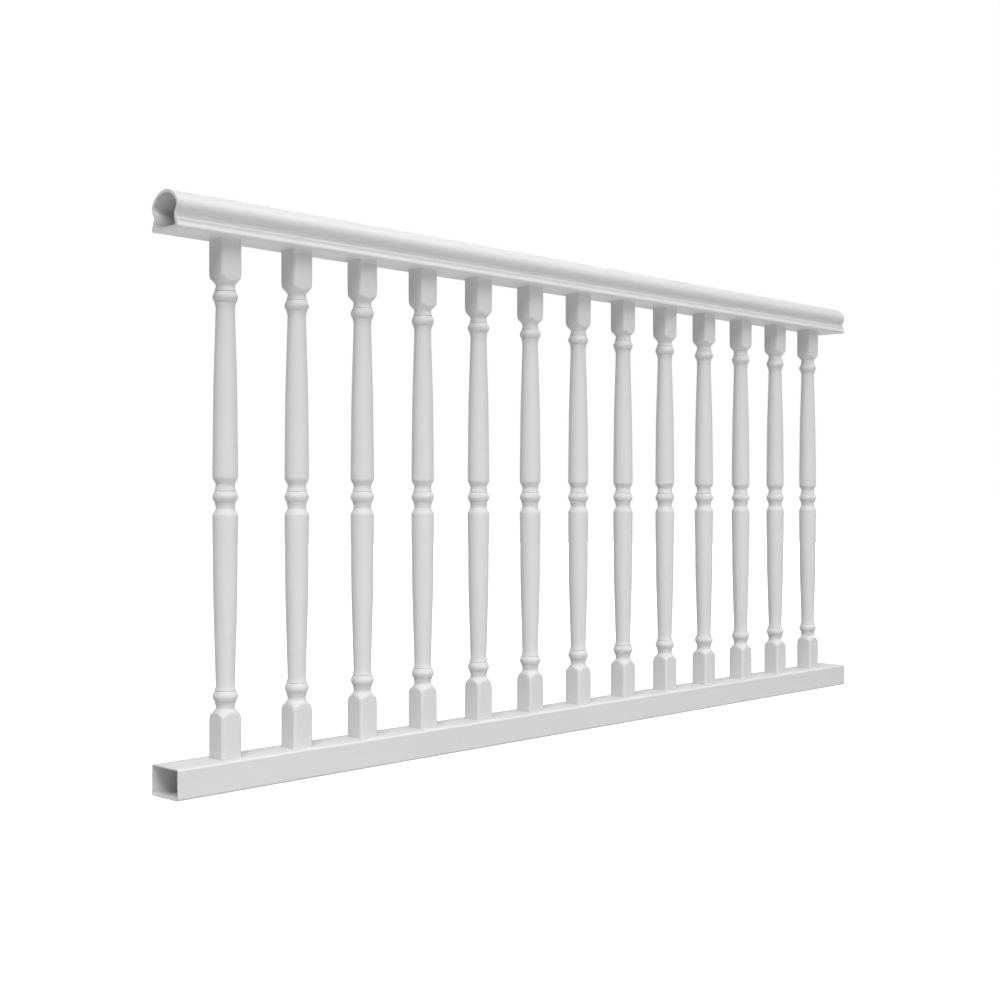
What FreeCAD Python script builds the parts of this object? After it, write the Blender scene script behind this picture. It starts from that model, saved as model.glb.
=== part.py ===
import FreeCAD, Part
import math
import os

# Deck railing section: a hollow bread-loaf top rail, a hollow bottom rail and a row of turned balusters.
# Millimetres. X runs along the rails from the left end, Y goes through the railing from its middle plane,
# and Z is up from the underside of the bottom rail.

# Whole section
section_height = 912.0
baluster_count = 13
baluster_pitch = 139.7
end_margin = 109.3  # rail end to the axis of the nearest baluster

# Bottom rail, a rectangular tube
bottom_rail_width = 69.85
bottom_rail_height = 47.6
bottom_rail_wall = 2.4
bottom_rail_corner = 4.0
bottom_rail_inner_corner = 1.6

# Top rail, from its underside up: lip, bevel, land, ledge, waist, side rounds and crown
base_width = 69.85
loaf_width = 69.85
top_rail_wall = 4.8
base_corner = 3.0
lip_height = 4.3
bevel_height = 5.3
land_inset = 2.8
land_height = 5.7
ledge_height = 0.8
waist_inset = 5.7
waist_height = 7.5
side_radius = 15.0
crown_rise = 26.0  # widest line of the loaf to its top

# Baluster, square at its ends and turned between them, both halves alike
baluster_side = 38.1
baluster_corner = 5.0
block_length = 105.2
shoulder_round = 11.0
shoulder_hollow = 5.5
shoulder_slope = 42.0  # degrees from upright
neck_radius = 14.8
neck_length = 1.6
flare_length = 7.4
bead_radius = 19.65
bead_height = 16.0
bead_crown = 4.2
bead_edge_radius = 16.85
vase_radius = 19.62
taper_share = 0.48  # part of the vase that swells quickest
taper_radius = 18.35
belly_length = 15.0
vase_round = 10.0
vase_hollow = 3.5
vase_slope = 27.5  # degrees from upright
mid_neck_length = 3.3
turned_sides = 12

# Fits
hole_clearance = 0.3
seat_clearance = 0.8
crown_clearance = 0.5

# Lengths that follow from the sizes above
rail_length = (baluster_count - 1) * baluster_pitch + 2 * end_margin
loaf_half = loaf_width / 2
base_half = base_width / 2
waist_half = loaf_half - waist_inset
side_centre = loaf_half - side_radius
under_side = math.sqrt(side_radius ** 2 - (waist_half - side_centre) ** 2)
top_rail_height = (lip_height + bevel_height + land_height + ledge_height + waist_height
                   + under_side + crown_rise)
top_rail_bottom = section_height - top_rail_height
bulge_z = section_height - crown_rise
crown_radius = ((side_centre ** 2 + crown_rise ** 2 - side_radius ** 2)
                / (2 * (crown_rise - side_radius)))
crown_centre_z = section_height - crown_radius
baluster_half = baluster_side / 2
inner_crown = crown_radius - top_rail_wall
baluster_bottom = bottom_rail_wall + seat_clearance
baluster_top = (crown_centre_z + math.sqrt(inner_crown ** 2 - baluster_half ** 2)
                - crown_clearance)
turned_middle = (baluster_bottom + baluster_top) / 2


def point(y, z):
    return FreeCAD.Vector(0, y, z)


def straight(a, b):
    return Part.LineSegment(point(*a), point(*b)).toShape()


def curve(a, middle, b):
    return Part.Arc(point(*a), point(*middle), point(*b)).toShape()


def on_circle(centre, radius, angle):
    return (centre[0] + radius * math.cos(angle), centre[1] + radius * math.sin(angle))


def mirrored(half_edges):
    other = [edge.mirror(FreeCAD.Vector(0, 0, 0), FreeCAD.Vector(0, 1, 0)) for edge in half_edges]
    return Part.Wire(Part.__sortEdges__(half_edges + other))


# Round top shared by the outside and the inside of the loaf: from the waist over the side to the crown
def loaf_top(wall):
    crown = (0.0, crown_centre_z)
    side = (side_centre, bulge_z)
    crown_r = crown_radius - wall
    side_r = side_radius - wall
    reach = waist_half - wall - side_centre
    low = -math.acos(reach / side_r)
    join = math.atan2(bulge_z - crown_centre_z, side_centre)
    start = on_circle(side, side_r, low)
    meet = on_circle(side, side_r, join)
    top = (0.0, crown_centre_z + crown_r)
    edges = [curve(start, on_circle(side, side_r, (low + join) / 2), meet),
             curve(meet, on_circle(crown, crown_r, (join + math.pi / 2) / 2), top)]
    return start, edges


def loaf_outside():
    land_half = base_half - land_inset
    lip_z = top_rail_bottom + lip_height
    bevel_z = lip_z + bevel_height
    ledge_z = bevel_z + land_height
    waist_z = ledge_z + ledge_height
    corner = (base_half - base_corner, top_rail_bottom + base_corner)
    start, edges = loaf_top(0.0)
    edges += [straight((0, top_rail_bottom), (base_half - base_corner, top_rail_bottom)),
              curve((base_half - base_corner, top_rail_bottom), on_circle(corner, base_corner, -math.pi / 4),
                    (base_half, top_rail_bottom + base_corner)),
              straight((base_half, top_rail_bottom + base_corner), (base_half, lip_z)),
              straight((base_half, lip_z), (land_half, bevel_z)),
              straight((land_half, bevel_z), (land_half, ledge_z)),
              straight((land_half, ledge_z), (waist_half, waist_z)),
              straight((waist_half, waist_z), start)]
    return mirrored(edges)


def loaf_inside():
    floor_z = top_rail_bottom + top_rail_wall
    foot_half = base_half - land_inset - top_rail_wall
    ledge_z = top_rail_bottom + lip_height + bevel_height
    inner_half = waist_half - top_rail_wall
    start, edges = loaf_top(top_rail_wall)
    edges += [straight((0, floor_z), (foot_half, floor_z)),
              straight((foot_half, floor_z), (foot_half, ledge_z)),
              straight((foot_half, ledge_z), (inner_half, ledge_z + land_height)),
              straight((inner_half, ledge_z + land_height), start)]
    return mirrored(edges)


def rounded_tube_wire(width, height, low, corner):
    half = width / 2
    high = low + height
    middle_low = (half - corner, low + corner)
    middle_high = (half - corner, high - corner)
    edges = [straight((0, low), (half - corner, low)),
             curve((half - corner, low), on_circle(middle_low, corner, -math.pi / 4), (half, low + corner)),
             straight((half, low + corner), (half, high - corner)),
             curve((half, high - corner), on_circle(middle_high, corner, math.pi / 4), (half - corner, high)),
             straight((half - corner, high), (0, high))]
    return mirrored(edges)


# A post of square section with each round corner drawn as two flats
def square_post(half, corner, low, high):
    flat = half - corner
    diagonal = flat + corner / math.sqrt(2)
    quarter = [(half, -flat), (half, flat), (diagonal, diagonal)]
    corners = []
    for turn in range(4):
        for x, y in quarter:
            for step in range(turn):
                x, y = -y, x
            corners.append(FreeCAD.Vector(x, y, low))
    corners.append(corners[0])
    return Part.Face(Part.makePolygon(corners)).extrude(FreeCAD.Vector(0, 0, high - low))


# A turned solid with flat sides, from pairs of radius and height, as thick as the round one
def turned(profile):
    slice_angle = 2 * math.pi / turned_sides
    spread = math.sqrt(slice_angle / math.sin(slice_angle))
    rings = []
    for radius, z in profile:
        reach = radius * spread
        ring = []
        for side in range(turned_sides):
            angle = slice_angle * (side + 0.5)
            ring.append(FreeCAD.Vector(reach * math.cos(angle), reach * math.sin(angle), z))
        rings.append(ring)
    faces = [Part.Face(Part.makePolygon(rings[0] + rings[0][:1])),
             Part.Face(Part.makePolygon(rings[-1] + rings[-1][:1]))]
    for lower, upper in zip(rings, rings[1:]):
        for side in range(turned_sides):
            following = (side + 1) % turned_sides
            corners = [lower[side], lower[following], upper[following], upper[side]]
            faces.append(Part.Face(Part.makePolygon(corners + corners[:1])))
    return Part.makeSolid(Part.makeShell(faces))


# An ogee of three flats going up and in: a convex round, a straight slope and a hollow
def ogee_profile(radius, low, drop, rounding, hollow, slope):
    turn = math.radians(slope)
    bend = 1 - math.cos(turn)
    slope_drop = drop - (rounding + hollow) * bend
    round_end = (radius - rounding * bend, low + rounding * math.sin(turn))
    slope_end = (round_end[0] - slope_drop, round_end[1] + slope_drop / math.tan(turn))
    end = (radius - drop, slope_end[1] + hollow * math.sin(turn))
    return [(radius, low), round_end, slope_end, end]


# A bead of three flats, its crown standing out between two slopes
def bead_profile(middle):
    half = bead_height / 2
    crown = bead_crown / 2
    return [(bead_edge_radius, middle - half), (bead_radius, middle - crown),
            (bead_radius, middle + crown), (bead_edge_radius, middle + half)]


# Half of the turned length, from the neck at the block up to the lower side of the middle bead
def turned_half(neck_low):
    ring_reach = bead_height / 2 + flare_length
    end_ring = neck_low + neck_length + ring_reach
    vase_low = end_ring + ring_reach
    shoulder_high = turned_middle - ring_reach - mid_neck_length
    shoulder = ogee_profile(vase_radius, 0.0, vase_radius - neck_radius, vase_round, vase_hollow, vase_slope)
    shoulder_low = shoulder_high - shoulder[-1][1]
    points = [(neck_radius, neck_low), (neck_radius, neck_low + neck_length)]
    points += bead_profile(end_ring)
    taper_high = vase_low + taper_share * (shoulder_low - vase_low)
    points += [(neck_radius, vase_low), (taper_radius, taper_high),
               (vase_radius, shoulder_low - belly_length), (vase_radius, shoulder_low),
               (shoulder[1][0], shoulder_low + shoulder[1][1]), (neck_radius, shoulder_high),
               (neck_radius, shoulder_high + mid_neck_length)]
    points += bead_profile(turned_middle)[:2]
    return points


# A square block with the rounded shoulder that takes it to the neck, as the lower end of a baluster
def end_block():
    diagonal = (baluster_half - baluster_corner) * math.sqrt(2) + baluster_corner
    block_top = baluster_bottom + block_length
    shoulder = ogee_profile(diagonal, block_top, diagonal - neck_radius,
                            shoulder_round, shoulder_hollow, shoulder_slope)
    over = 2 * diagonal
    neck_low = shoulder[-1][1]
    end = turned([(over, baluster_bottom), (over, block_top)] + shoulder)
    post = square_post(baluster_half, baluster_corner, baluster_bottom, neck_low)
    return post.common(end), neck_low


def baluster():
    lower, neck_low = end_block()
    upper = lower.mirror(FreeCAD.Vector(0, 0, turned_middle), FreeCAD.Vector(0, 0, 1))
    half = turned_half(neck_low)
    other = [(radius, 2 * turned_middle - z) for radius, z in reversed(half)]
    shaft = turned(half + other)
    return lower.fuse([shaft, upper]).removeSplitter().Solids[0]


def rail(outside, inside):
    along = FreeCAD.Vector(rail_length, 0, 0)
    return Part.Face(outside).extrude(along).cut(Part.Face(inside).extrude(along))


def routed(shape, low, high):
    hole_half = baluster_half + hole_clearance
    hole_corner = baluster_corner + hole_clearance
    for number in range(baluster_count):
        hole = square_post(hole_half, hole_corner, low, high)
        hole.translate(FreeCAD.Vector(end_margin + number * baluster_pitch, 0, 0))
        shape = shape.cut(hole)
    return shape.Solids[0]


os.makedirs("parts", exist_ok=True)

bottom_rail = rail(
    rounded_tube_wire(bottom_rail_width, bottom_rail_height, 0.0, bottom_rail_corner),
    rounded_tube_wire(bottom_rail_width - 2 * bottom_rail_wall, bottom_rail_height - 2 * bottom_rail_wall,
                      bottom_rail_wall, bottom_rail_inner_corner))
bottom_rail = routed(bottom_rail, bottom_rail_height - 2 * bottom_rail_wall,
                     bottom_rail_height + bottom_rail_wall)
bottom_rail.exportStep("parts/bottom_rail.step")

top_rail = rail(loaf_outside(), loaf_inside())
top_rail = routed(top_rail, top_rail_bottom - top_rail_wall, top_rail_bottom + 2 * top_rail_wall)
top_rail.exportStep("parts/top_rail.step")

first_baluster = baluster()
for number in range(baluster_count):
    piece = first_baluster.copy()
    piece.translate(FreeCAD.Vector(end_margin + number * baluster_pitch, 0, 0))
    piece.exportStep("parts/baluster_%02d.step" % (number + 1))
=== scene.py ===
import math
import bmesh
import bpy
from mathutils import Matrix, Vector


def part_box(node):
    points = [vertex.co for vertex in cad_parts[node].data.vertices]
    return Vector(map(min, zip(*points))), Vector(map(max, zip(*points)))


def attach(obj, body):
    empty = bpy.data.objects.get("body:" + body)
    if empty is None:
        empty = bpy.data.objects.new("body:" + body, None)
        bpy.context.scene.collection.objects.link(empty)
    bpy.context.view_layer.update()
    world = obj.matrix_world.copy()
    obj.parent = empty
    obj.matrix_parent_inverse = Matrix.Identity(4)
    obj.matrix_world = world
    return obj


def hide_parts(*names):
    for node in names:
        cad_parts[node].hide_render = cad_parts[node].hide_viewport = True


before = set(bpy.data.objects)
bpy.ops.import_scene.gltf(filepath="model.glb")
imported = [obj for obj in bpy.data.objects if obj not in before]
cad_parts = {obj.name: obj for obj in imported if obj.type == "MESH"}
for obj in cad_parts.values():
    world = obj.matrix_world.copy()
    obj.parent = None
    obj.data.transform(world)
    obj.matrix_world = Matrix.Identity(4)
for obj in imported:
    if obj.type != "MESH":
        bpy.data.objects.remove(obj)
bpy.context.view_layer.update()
print("frame loaded:", len(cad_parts), "nodes")

mm = 0.001
balusterNames = sorted(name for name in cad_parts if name.startswith("baluster"))
balusterX = [(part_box(name)[0][0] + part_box(name)[1][0]) / 2 for name in balusterNames]  # axes, metres
railStart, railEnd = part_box("bottom_rail")[0][0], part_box("bottom_rail")[1][0]


# outlines, all in millimetres as pairs across and up

def arcPoints(centre, radius, startDeg, endDeg, steps):
    points = []
    for i in range(steps + 1):
        a = math.radians(startDeg + (endDeg - startDeg) * i / steps)
        points.append((centre[0] + radius * math.cos(a), centre[1] + radius * math.sin(a)))
    return points


def evenSteps(points, count):  # walks a line and drops points at equal distances
    lengths = [0.0]
    for a, b in zip(points, points[1:]):
        lengths.append(lengths[-1] + math.dist(a, b))
    out, k = [], 0
    for i in range(count + 1):
        target = lengths[-1] * i / count
        while k < len(points) - 2 and lengths[k + 1] < target:
            k += 1
        span = lengths[k + 1] - lengths[k]
        t = (target - lengths[k]) / span if span > 0 else 0.0
        out.append((points[k][0] + (points[k + 1][0] - points[k][0]) * t,
                    points[k][1] + (points[k + 1][1] - points[k][1]) * t))
    return out


def eased(points, passes):  # rounds the corners of a drawn profile a little, ends stay put
    for _ in range(passes):
        moved = [points[0]]
        for a, b, c in zip(points, points[1:], points[2:]):
            moved.append(((a[0] + 2 * b[0] + c[0]) / 4, (a[1] + 2 * b[1] + c[1]) / 4))
        moved.append(points[-1])
        points = moved
    return points


def shifted(points, distance):  # moves an open line sideways, to its left for a positive distance
    out = []
    last = len(points) - 1
    for i, p in enumerate(points):
        a, b = points[max(i - 1, 0)], points[min(i + 1, last)]
        length = math.dist(a, b)
        out.append((p[0] - (b[1] - a[1]) / length * distance, p[1] + (b[0] - a[0]) / length * distance))
    return out


def squareLoop(half, corner, steps):  # rounded square as four corner arcs
    flat = half - corner
    arcs = []
    for k in range(4):
        cx = flat if k in (0, 3) else -flat
        cy = flat if k in (0, 1) else -flat
        arcs.append(arcPoints((cx, cy), corner, 90 * k, 90 * k + 90, steps))
    return arcs


# meshes, in metres

weldDistance, sliverLength = 2e-6, 1e-6


def joinLoops(bm, a, b):  # a band of faces between two closed loops
    count = len(a)
    for k in range(count):
        n = (k + 1) % count
        bm.faces.new((a[k], a[n], b[n], b[k]))


def finishMesh(bm, name, sharpDeg):
    bmesh.ops.remove_doubles(bm, verts=bm.verts, dist=weldDistance)
    bmesh.ops.dissolve_degenerate(bm, edges=bm.edges, dist=sliverLength)
    bmesh.ops.recalc_face_normals(bm, faces=bm.faces)
    mesh = bpy.data.meshes.new(name)
    bm.to_mesh(mesh)
    bm.free()
    mesh.shade_smooth()
    mesh.set_sharp_from_angle(angle=math.radians(sharpDeg))
    piece = bpy.data.objects.new(name, mesh)
    bpy.context.scene.collection.objects.link(piece)
    return piece


# rails

railCuts = {"holeHalf": 19.35, "holeCorner": 5.3, "holeSteps": 6, "sawnEdge": 0.3, "sharpDeg": 32}


def railMesh(name, outer, inner, stripZ, inwards):
    # outer and inner run from one edge of the flat routed wall right round to its other edge
    # stripZ is the height of that wall outside and inside
    # inwards is 1 where the hollow lies to the left of the outlines, else -1
    bm = bmesh.new()
    cut = railCuts["sawnEdge"]
    bays = [(a + b) / 2 for a, b in zip(balusterX, balusterX[1:])]
    stations = [railStart, railStart + cut * mm] + bays + [railEnd - cut * mm, railEnd]

    def rings(points, side):
        worn = shifted(points, side * cut)
        made = []
        for i, x in enumerate(stations):
            line = worn if i in (0, len(stations) - 1) else points
            made.append([bm.verts.new((x, y * mm, z * mm)) for y, z in line])
        return made

    outerRings = rings(outer, inwards)
    innerRings = rings(inner, -inwards)
    for made in (outerRings, innerRings):
        for a, b in zip(made, made[1:]):
            for p, q, r, s in zip(a, a[1:], b[1:], b):
                bm.faces.new((p, q, r, s))
        for i in (0, len(stations) - 2):  # narrow strip at the saw cut
            a, b = made[i], made[i + 1]
            bm.faces.new((a[-1], a[0], b[0], b[-1]))
    for i in (0, -1):  # cut face of the tube wall
        joinLoops(bm, outerRings[i], innerRings[i])
    loops = squareLoop(railCuts["holeHalf"], railCuts["holeCorner"], railCuts["holeSteps"])
    for bay, cx in enumerate(balusterX):  # routed wall with its hole, one bay at a time
        rims = []
        for made, z in ((outerRings, stripZ[0]), (innerRings, stripZ[1])):
            low, high = made[bay + 1], made[bay + 2]
            back, front = (0, -1) if low[0].co.y > 0 else (-1, 0)
            corners = [high[back], low[back], low[front], high[front]]
            arcs = [[bm.verts.new((cx + x * mm, y * mm, z * mm)) for x, y in arc] for arc in loops]
            for k in range(4):
                bm.faces.new([corners[k]] + arcs[k][::-1])
                n = (k + 1) % 4
                bm.faces.new((corners[n], arcs[n][0], arcs[k][-1], corners[k]))
            rims.append([v for arc in arcs for v in arc])
        joinLoops(bm, rims[0], rims[1])
    return finishMesh(bm, name, railCuts["sharpDeg"])


topRail = {
    "half": 34.925, "wall": 4.8, "baseCorner": 3.0, "lipHeight": 4.3, "bevelHeight": 5.3, "landInset": 2.8,
    "landHeight": 5.7, "ledgeHeight": 0.8, "waistInset": 5.7, "sideRadius": 15.0, "crownRise": 26.0,
    "floorCorner": 1.2, "baseSteps": 8, "floorSteps": 4, "sideSteps": 24, "crownSteps": 18,
    "samples": 150, "easing": 4, "innerEasing": 24,
    "hold": 0.4,  # keeps the flat beside a corner shaded flat
}


def loafOutline(spec, low, high, wall):  # the outside for no wall, else the hollow
    half, side, rise = spec["half"], spec["sideRadius"], spec["crownRise"]
    waist = half - spec["waistInset"]
    sideX, sideZ = half - side, high - rise
    crown = (sideX ** 2 + rise ** 2 - side ** 2) / (2 * (rise - side))
    join = math.degrees(math.atan2(sideZ - (high - crown), sideX))
    start = -math.degrees(math.acos((waist - wall - sideX) / (side - wall)))
    land = half - spec["landInset"]
    lipZ = low + spec["lipHeight"]
    bevelZ = lipZ + spec["bevelHeight"]
    ledgeZ = bevelZ + spec["landHeight"]
    if wall == 0:
        c = spec["baseCorner"]
        points = arcPoints((half - c, low + c), c, -90, 0, spec["baseSteps"])
        points += [(half, lipZ), (land, bevelZ), (land, ledgeZ), (waist, ledgeZ + spec["ledgeHeight"])]
    else:
        c = spec["floorCorner"]
        foot = land - wall
        points = arcPoints((foot - c, low + wall + c), c, -90, 0, spec["floorSteps"])
        points += [(foot, bevelZ), (waist - wall, ledgeZ)]
    points += arcPoints((sideX, sideZ), side - wall, start, join, spec["sideSteps"])
    points += arcPoints((0.0, high - crown), crown - wall, join, 90, spec["crownSteps"])[1:]
    right = eased(evenSteps(points, spec["samples"]), spec["innerEasing"] if wall else spec["easing"])
    right.insert(0, (right[0][0] - spec["hold"], right[0][1]))
    left = [(-y, z) for y, z in reversed(right[:-1])]
    return right + left


topLow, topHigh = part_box("top_rail")[0][2] / mm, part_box("top_rail")[1][2] / mm
topRailPiece = railMesh(
    "topRail",
    loafOutline(topRail, topLow, topHigh, 0),
    loafOutline(topRail, topLow, topHigh, topRail["wall"]),
    (topLow, topLow + topRail["wall"]), 1)
print("top rail:", len(topRailPiece.data.polygons), "faces")


bottomRail = {"half": 34.925, "wall": 2.4, "corner": 4.0, "innerCorner": 1.6, "steps": 8, "hold": 0.4}


def tubeOutline(spec, low, high, wall):
    half = spec["half"] - wall
    c = spec["innerCorner"] if wall else spec["corner"]
    low, high = low + wall, high - wall
    flat = c + spec["hold"]
    right = [(half - flat, high)] + arcPoints((half - c, high - c), c, 90, 0, spec["steps"])
    right += [(half, high - flat), (half, low + flat)]
    right += arcPoints((half - c, low + c), c, 0, -90, spec["steps"]) + [(half - flat, low)]
    return right + [(-y, z) for y, z in reversed(right)]


baseLow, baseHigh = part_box("bottom_rail")[0][2] / mm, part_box("bottom_rail")[1][2] / mm
bottomRailPiece = railMesh(
    "bottomRail",
    tubeOutline(bottomRail, baseLow, baseHigh, 0),
    tubeOutline(bottomRail, baseLow, baseHigh, bottomRail["wall"]),
    (baseHigh, baseHigh - bottomRail["wall"]), -1)
print("bottom rail:", len(bottomRailPiece.data.polygons), "faces")


# balusters

baluster = {
    "half": 19.05, "corner": 5.0, "blockLength": 105.2, "blend": 2.0, "neck": 14.8, "neckLength": 1.6,
    "shoulder": {"round": 11.0, "hollow": 5.5, "slopeDeg": 42.0, "bendSteps": 8, "rings": 24},
    "bead": 19.65, "beadHalf": 8.0, "beadCrown": 4.2, "beadSlope": 0.475, "beadSteps": 5,
    "rimSwell": 0.2, "rimDepth": 0.6, "rimDrop": 0.3,  # the bead's edge, before it drops into the groove
    "groove": 15.6, "grooveWidth": 1.2, "grooveFloor": (0.4, 0.7),
    "flareRim": 16.55, "flareLength": 6.2, "flareCurve": 0.9, "flareSteps": 4,
    "vase": 19.62, "vaseFoot": 7.0, "taperShare": 0.48, "taperRadius": 18.35, "bellyLength": 15.0,
    "vaseRings": 26, "vaseEasing": 2, "midNeck": 3.3,
    "vaseShoulder": {"round": 10.0, "hollow": 3.5, "slopeDeg": 27.5, "bendSteps": 8, "rings": 14},
    "flatSteps": 9, "cornerSteps": 4, "sharpDeg": 30,
}


def ogeeLength(spec, drop):
    turn = math.radians(spec["slopeDeg"])
    bends = spec["round"] + spec["hollow"]
    return bends * math.sin(turn) + (drop - bends * (1 - math.cos(turn))) / math.tan(turn)


def ogee(spec, radius, z, drop):  # rounds off an upright, slopes in, then hollows back to upright
    turn, steps = math.radians(spec["slopeDeg"]), spec["bendSteps"]
    bulge, hollow = spec["round"], spec["hollow"]
    top = z + ogeeLength(spec, drop)
    points = []
    for i in range(steps + 1):
        a = turn * i / steps
        points.append((radius - bulge * (1 - math.cos(a)), z + bulge * math.sin(a)))
    for i in range(steps + 1):
        a = turn * (1 - i / steps)
        points.append((radius - drop + hollow * (1 - math.cos(a)), top - hollow * math.sin(a)))
    return evenSteps(points, spec["rings"])


def beadRing(spec, z):  # flare, groove, bead, groove, flare
    crown, slope, half = spec["beadCrown"], spec["beadSlope"], spec["beadHalf"]
    rim = half + spec["grooveWidth"]
    upper = []
    for i in range(spec["beadSteps"] + 1):
        d = crown * i / spec["beadSteps"]
        upper.append((spec["bead"] - slope * d * d / (2 * crown), d))
    edge = spec["bead"] - slope * (half - crown / 2)
    upper += [(edge + spec["rimSwell"], half - spec["rimDepth"]), (edge - spec["rimDrop"], half)]
    upper += [(spec["groove"], half + spec["grooveWidth"] * share) for share in spec["grooveFloor"]]
    for i in range(spec["flareSteps"] + 1):
        t = i / spec["flareSteps"]
        radius = spec["flareRim"] + (spec["neck"] - spec["flareRim"]) * t ** spec["flareCurve"]
        upper.append((radius, rim + spec["flareLength"] * t))
    return [(r, z - d) for r, d in reversed(upper[1:])] + [(r, z + d) for r, d in upper]


def turnedProfile(spec, low, high):  # radius, height and whether the square block trims it
    middle = (low + high) / 2
    reach = (spec["half"] - spec["corner"]) * math.sqrt(2) + spec["corner"]
    blockTop = low + spec["blockLength"]
    ringReach = spec["beadHalf"] + spec["grooveWidth"] + spec["flareLength"]
    ends = [(reach + spec["blend"], low), (reach + spec["blend"], blockTop - 2 * spec["blend"])]
    ends += ogee(spec["shoulder"], reach, blockTop, reach - spec["neck"])
    shaft = beadRing(spec, ends[-1][1] + spec["neckLength"] + ringReach)
    foot = shaft[-1][1]
    drop = spec["vase"] - spec["neck"]
    shoulderLow = middle - ringReach - spec["midNeck"] - ogeeLength(spec["vaseShoulder"], drop)
    taperTop = foot + spec["taperShare"] * (shoulderLow - foot)
    vase = [(spec["neck"], foot), (spec["neck"], foot + spec["vaseFoot"]), (spec["taperRadius"], taperTop),
            (spec["vase"], shoulderLow - spec["bellyLength"]), (spec["vase"], shoulderLow)]
    shaft += eased(evenSteps(vase, spec["vaseRings"]), spec["vaseEasing"])[1:-1]
    shaft += ogee(spec["vaseShoulder"], spec["vase"], shoulderLow, drop)
    middleRing = beadRing(spec, middle)
    shaft += middleRing[:len(middleRing) // 2]  # up to the crown of the middle bead
    half = [(r, z, True) for r, z in ends] + [(r, z, False) for r, z in shaft]
    return half + [(spec["bead"], middle, False)] + [(r, 2 * middle - z, b) for r, z, b in reversed(half)]


def crossSection(spec, radius, trimmed):  # polar points of one slice, a softened square where trimmed
    half, corner, blend = spec["half"], spec["corner"], spec["blend"]
    flat = half - corner
    flatEnd = math.atan2(flat, half)
    away = flat * math.sqrt(2)
    cornerTurn = math.pi / 4 - flatEnd
    eighth = [flatEnd * i / spec["flatSteps"] for i in range(spec["flatSteps"])]
    eighth += [flatEnd + cornerTurn * i / spec["cornerSteps"] for i in range(spec["cornerSteps"] + 1)]
    quarter = eighth + [math.pi / 2 - a for a in reversed(eighth[1:-1])]
    section = []
    for k in range(4):
        for a in quarter:
            reach = radius
            if trimmed:
                within = min(a, math.pi / 2 - a)
                off = math.pi / 4 - within
                if within <= flatEnd:
                    square = half / math.cos(within)
                else:
                    square = away * math.cos(off) + math.sqrt(corner ** 2 - (away * math.sin(off)) ** 2)
                near = max(blend - abs(square - radius), 0.0) / blend
                reach = min(square, radius) - near * near * blend / 4
            section.append((reach, a + k * math.pi / 2))
    return section


def balusterMesh(name, spec, axisX, low, high):
    bm = bmesh.new()
    rings = []
    for radius, z, trimmed in turnedProfile(spec, low, high):
        ring = []
        for r, a in crossSection(spec, radius, trimmed):
            ring.append(bm.verts.new((axisX + r * math.cos(a) * mm, r * math.sin(a) * mm, z * mm)))
        rings.append(ring)
    for a, b in zip(rings, rings[1:]):
        joinLoops(bm, a, b)
    bm.faces.new(rings[0][::-1])
    bm.faces.new(rings[-1])
    return finishMesh(bm, name, spec["sharpDeg"])


balusterPieces = []
for name, x in zip(balusterNames, balusterX):
    nodeLow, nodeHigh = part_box(name)
    piece = balusterMesh("turned" + name[-2:], baluster, x, nodeLow[2] / mm, nodeHigh[2] / mm)
    balusterPieces.append((piece, name))
print("balusters:", len(balusterPieces), "with", len(balusterPieces[0][0].data.polygons), "faces each")


# white vinyl

def grey(level):
    return (level, level, level, 1)


def newGroup(name, inputs, outputs):
    group = bpy.data.node_groups.new(name, "ShaderNodeTree")
    for label, kind, value in inputs:
        socket = group.interface.new_socket(name=label, in_out="INPUT", socket_type=kind)
        if value is not None:
            socket.default_value = value
    for label, kind in outputs:
        group.interface.new_socket(name=label, in_out="OUTPUT", socket_type=kind)
    start = group.nodes.new("NodeGroupInput")
    end = group.nodes.new("NodeGroupOutput")
    return group, start, end


def mathNode(tree, operation, a, b=None, clamp=False):
    node = tree.nodes.new("ShaderNodeMath")
    node.operation = operation
    node.use_clamp = clamp
    for i, value in enumerate((a, b)):
        if value is None:
            continue
        if isinstance(value, (int, float)):
            node.inputs[i].default_value = value
        else:
            tree.links.new(value, node.inputs[i])
    return node.outputs[0]


def weighted(tree, a, shareA, b, shareB):
    partA = mathNode(tree, "MULTIPLY", a, shareA)
    partB = mathNode(tree, "MULTIPLY", b, shareB)
    return mathNode(tree, "ADD", partA, partB)


def makeDrawLines():  # faint lines left by the die, long in one direction
    group, start, end = newGroup(
        "drawLines",
        [("Vector", "NodeSocketVector", None), ("Stretch", "NodeSocketVector", (1.0, 1.0, 1.0))],
        [("Lines", "NodeSocketFloat"), ("Sheen", "NodeSocketFloat")])
    scale = group.nodes.new("ShaderNodeVectorMath")
    scale.operation = "MULTIPLY"
    group.links.new(start.outputs["Vector"], scale.inputs[0])
    group.links.new(start.outputs["Stretch"], scale.inputs[1])
    for label, size, detail in (("Lines", 1.0, 3.0), ("Sheen", 0.35, 2.0)):
        noise = group.nodes.new("ShaderNodeTexNoise")
        noise.inputs["Scale"].default_value = size
        noise.inputs["Detail"].default_value = detail
        noise.inputs["Roughness"].default_value = 0.55
        group.links.new(scale.outputs[0], noise.inputs["Vector"])
        group.links.new(noise.outputs["Fac"], end.inputs[label])
    return group


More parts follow.
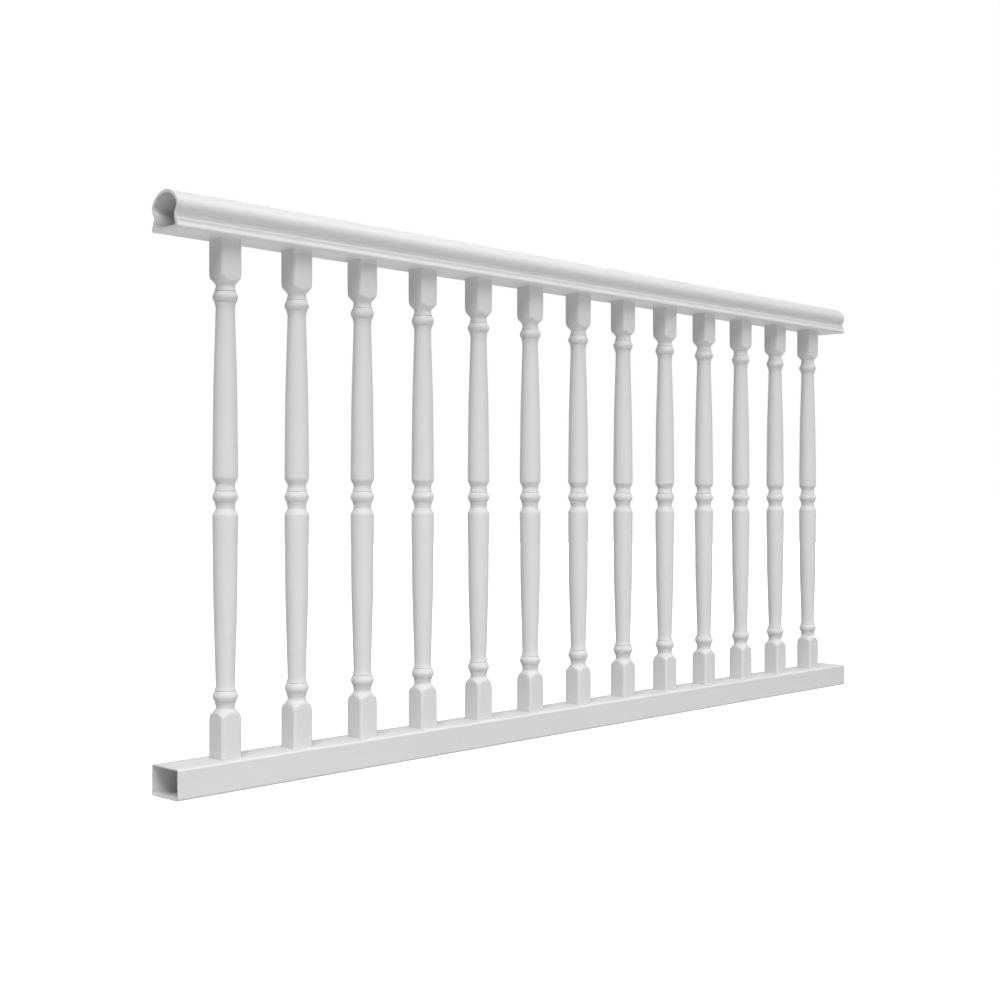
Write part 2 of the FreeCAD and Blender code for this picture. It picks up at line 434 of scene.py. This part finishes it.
def makeSkinGrain():  # soft cloudiness and the fine grain of cooled vinyl
    group, start, end = newGroup(
        "skinGrain",
        [("Vector", "NodeSocketVector", None), ("Cloud Size", "NodeSocketFloat", 9.0),
         ("Grain Size", "NodeSocketFloat", 900.0)],
        [("Cloud", "NodeSocketFloat"), ("Grain", "NodeSocketFloat")])
    for label, socket, detail in (("Cloud", "Cloud Size", 3.0), ("Grain", "Grain Size", 2.0)):
        noise = group.nodes.new("ShaderNodeTexNoise")
        noise.inputs["Detail"].default_value = detail
        group.links.new(start.outputs["Vector"], noise.inputs["Vector"])
        group.links.new(start.outputs[socket], noise.inputs["Scale"])
        group.links.new(noise.outputs["Fac"], end.inputs[label])
    return group


sawBlade = {"facing": 0.8, "steep": 6.0, "scale": 320.0, "wobble": 2.0, "detail": 2.0}


def makeSawMarks(spec):  # cut ends: mask from the way the face looks, and the marks of the blade
    group, start, end = newGroup(
        "sawMarks",
        [("Vector", "NodeSocketVector", None), ("Facing", "NodeSocketVector", None)],
        [("Cut", "NodeSocketFloat"), ("Marks", "NodeSocketFloat")])
    split = group.nodes.new("ShaderNodeSeparateXYZ")
    group.links.new(start.outputs["Facing"], split.inputs[0])
    along = mathNode(group, "ABSOLUTE", split.outputs["X"])
    past = mathNode(group, "SUBTRACT", along, spec["facing"])
    ramp = mathNode(group, "MULTIPLY", past, spec["steep"], clamp=True)
    group.links.new(ramp, end.inputs["Cut"])
    wave = group.nodes.new("ShaderNodeTexWave")
    wave.bands_direction = "Z"
    wave.inputs["Scale"].default_value = spec["scale"]
    wave.inputs["Distortion"].default_value = spec["wobble"]
    wave.inputs["Detail"].default_value = spec["detail"]
    group.links.new(start.outputs["Vector"], wave.inputs["Vector"])
    marks = mathNode(group, "MULTIPLY", wave.outputs["Fac"], ramp)
    group.links.new(marks, end.inputs["Marks"])
    return group


drawLines, skinGrain, sawMarks = makeDrawLines(), makeSkinGrain(), makeSawMarks(sawBlade)

vinyl = {"ior": 1.5, "specular": 0.08, "bumpDepth": 0.0006, "cloudShare": 0.65, "sheenShare": 0.35,
         "lineShare": 0.7, "grainShare": 0.3, "sawHeight": 2.5, "sawRough": 0.25}
railVinyl = {"stretch": (6.0, 520.0, 520.0), "pale": 0.72, "deep": 0.68,
             "gloss": (0.46, 0.56), "bump": 0.06, "saw": True}
balusterVinyl = {"stretch": (420.0, 420.0, 7.0), "pale": 0.71, "deep": 0.675,
                 "gloss": (0.48, 0.58), "bump": 0.05, "saw": False}


def makeVinyl(name, spec):
    material = bpy.data.materials.new(name)
    material.use_nodes = True
    tree = material.node_tree
    shader = tree.nodes["Principled BSDF"]
    shader.inputs["IOR"].default_value = vinyl["ior"]
    shader.inputs["Specular IOR Level"].default_value = vinyl["specular"]
    coords = tree.nodes.new("ShaderNodeTexCoord")

    def place(group):
        node = tree.nodes.new("ShaderNodeGroup")
        node.node_tree = group
        tree.links.new(coords.outputs["Object"], node.inputs["Vector"])
        return node

    lines, grain = place(drawLines), place(skinGrain)
    lines.inputs["Stretch"].default_value = spec["stretch"]
    tone = weighted(tree, grain.outputs["Cloud"], vinyl["cloudShare"],
                    lines.outputs["Sheen"], vinyl["sheenShare"])
    rough = tree.nodes.new("ShaderNodeMapRange")
    rough.inputs["To Min"].default_value, rough.inputs["To Max"].default_value = spec["gloss"]
    tree.links.new(tone, rough.inputs["Value"])
    height = weighted(tree, lines.outputs["Lines"], vinyl["lineShare"],
                      grain.outputs["Grain"], vinyl["grainShare"])
    roughness = rough.outputs["Result"]
    if spec["saw"]:
        saw = place(sawMarks)
        tree.links.new(coords.outputs["Normal"], saw.inputs["Facing"])
        ridges = mathNode(tree, "MULTIPLY", saw.outputs["Marks"], vinyl["sawHeight"])
        height = mathNode(tree, "ADD", height, ridges)
        dulled = mathNode(tree, "MULTIPLY", saw.outputs["Cut"], vinyl["sawRough"])
        roughness = mathNode(tree, "ADD", roughness, dulled)
    mix = tree.nodes.new("ShaderNodeMix")
    mix.data_type = "RGBA"
    mix.inputs["A"].default_value, mix.inputs["B"].default_value = grey(spec["deep"]), grey(spec["pale"])
    tree.links.new(tone, mix.inputs["Factor"])
    bump = tree.nodes.new("ShaderNodeBump")
    bump.inputs["Strength"].default_value = spec["bump"]
    bump.inputs["Distance"].default_value = vinyl["bumpDepth"]
    tree.links.new(height, bump.inputs["Height"])
    tree.links.new(mix.outputs["Result"], shader.inputs["Base Color"])
    tree.links.new(roughness, shader.inputs["Roughness"])
    tree.links.new(bump.outputs["Normal"], shader.inputs["Normal"])
    return material


railMaterial = makeVinyl("railVinyl", railVinyl)
balusterMaterial = makeVinyl("balusterVinyl", balusterVinyl)
for piece, node in ((topRailPiece, "top_rail"), (bottomRailPiece, "bottom_rail")):
    piece.data.materials.append(railMaterial)
    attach(piece, "root")
    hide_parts(node)
for piece, node in balusterPieces:
    piece.data.materials.append(balusterMaterial)
    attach(piece, "root")
    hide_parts(node)
print("vinyl on", 2 + len(balusterPieces), "pieces")


# floor, light and camera

studio = {"floorSize": 60, "floorPlace": (0.95, 0, -0.0004), "floorTone": 0.50, "floorGlow": 1.0,
          "sky": 0.12, "aim": (0.95, 0.0, 0.5)}
lamps = {  # shine: shows in gloss, matt: lights matt faces
    "keyLamp": {"from": (-0.417, -0.350, 0.839), "away": 12.0, "size": (7.6, 7.6), "power": 1310.0,
                "shine": True, "matt": True},
    "fillLamp": {"from": (-0.12, -1.0, -0.38), "away": 1.1, "size": (5.2, 0.2), "power": 9.1,
                 "shine": True, "matt": True},
    "sideLamp": {"from": (0.542, -0.455, 0.707), "away": 12.0, "size": (7.6, 7.6), "power": 260.0,
                 "shine": True, "matt": True},
    "backLamp": {"from": (0.640, 0.763, 0.087), "away": 12.0, "size": (16.0, 3.0), "power": 820.0,
                 "shine": False, "matt": True},  # lightens the back
    "crownLamp": {"from": (0.500, -0.060, 0.864), "away": 12.0, "size": (5.0, 5.0), "power": 1500.0,
                  "shine": True, "matt": False},  # draws the bright band along the top rail
}


def seenRays(tree):  # 1 for what the camera, gloss and glass see directly
    path = tree.nodes.new("ShaderNodeLightPath")
    seen = mathNode(tree, "MAXIMUM", path.outputs["Is Camera Ray"], path.outputs["Is Glossy Ray"])
    return mathNode(tree, "MAXIMUM", seen, path.outputs["Is Transmission Ray"])


def makeFloor(spec):
    bpy.ops.mesh.primitive_plane_add(size=spec["floorSize"], location=spec["floorPlace"])
    floor = bpy.context.object
    floor.name = "floor"
    material = bpy.data.materials.new("paleFloor")
    material.use_nodes = True
    tree = material.node_tree
    tree.nodes.clear()
    diffuse = tree.nodes.new("ShaderNodeBsdfDiffuse")
    diffuse.inputs["Color"].default_value = grey(spec["floorTone"])
    glow = tree.nodes.new("ShaderNodeEmission")
    tree.links.new(mathNode(tree, "MULTIPLY", seenRays(tree), spec["floorGlow"]), glow.inputs["Strength"])
    both = tree.nodes.new("ShaderNodeAddShader")
    tree.links.new(diffuse.outputs[0], both.inputs[0])
    tree.links.new(glow.outputs[0], both.inputs[1])
    out = tree.nodes.new("ShaderNodeOutputMaterial")
    tree.links.new(both.outputs[0], out.inputs["Surface"])
    floor.data.materials.append(material)


def makeSky(spec):
    world = bpy.data.worlds.new("studioSky")
    bpy.context.scene.world = world
    world.use_nodes = True
    tree = world.node_tree
    background = tree.nodes["Background"]
    background.inputs["Color"].default_value = grey(1)
    white = mathNode(tree, "MULTIPLY", seenRays(tree), 1 - spec["sky"])
    tree.links.new(mathNode(tree, "ADD", white, spec["sky"]), background.inputs["Strength"])


def makeLamp(name, spec):
    lamp = bpy.data.lights.new(name, "AREA")
    lamp.shape = "RECTANGLE"
    lamp.size, lamp.size_y = spec["size"]
    lamp.energy = spec["power"]
    holder = bpy.data.objects.new(name, lamp)
    holder.visible_camera = False
    holder.visible_glossy = spec["shine"]
    holder.visible_diffuse = spec["matt"]
    bpy.context.scene.collection.objects.link(holder)
    toward = Vector(spec["from"]).normalized()
    holder.location = Vector(studio["aim"]) + toward * spec["away"]
    holder.rotation_euler = toward.to_track_quat("Z", "Y").to_euler()


makeFloor(studio)
makeSky(studio)
for lampName, lampSpec in lamps.items():
    makeLamp(lampName, lampSpec)

view = {"lens": 52.196, "sensor": 36.0, "farEnd": 200,
        "place": (-1.2195, -1.8624, 0.4468), "turnDeg": 46.2357}
cameraData = bpy.data.cameras.new("camera")
cameraData.sensor_width = view["sensor"]
cameraData.lens = view["lens"]
cameraData.clip_end = view["farEnd"]
camera = bpy.data.objects.new("camera", cameraData)
camera.location = view["place"]
camera.rotation_euler = (math.pi / 2, 0, -math.radians(view["turnDeg"]))
bpy.context.scene.collection.objects.link(camera)
bpy.context.scene.camera = camera
bpy.context.scene.view_settings.view_transform = "Standard"
print("floor, light and camera set")
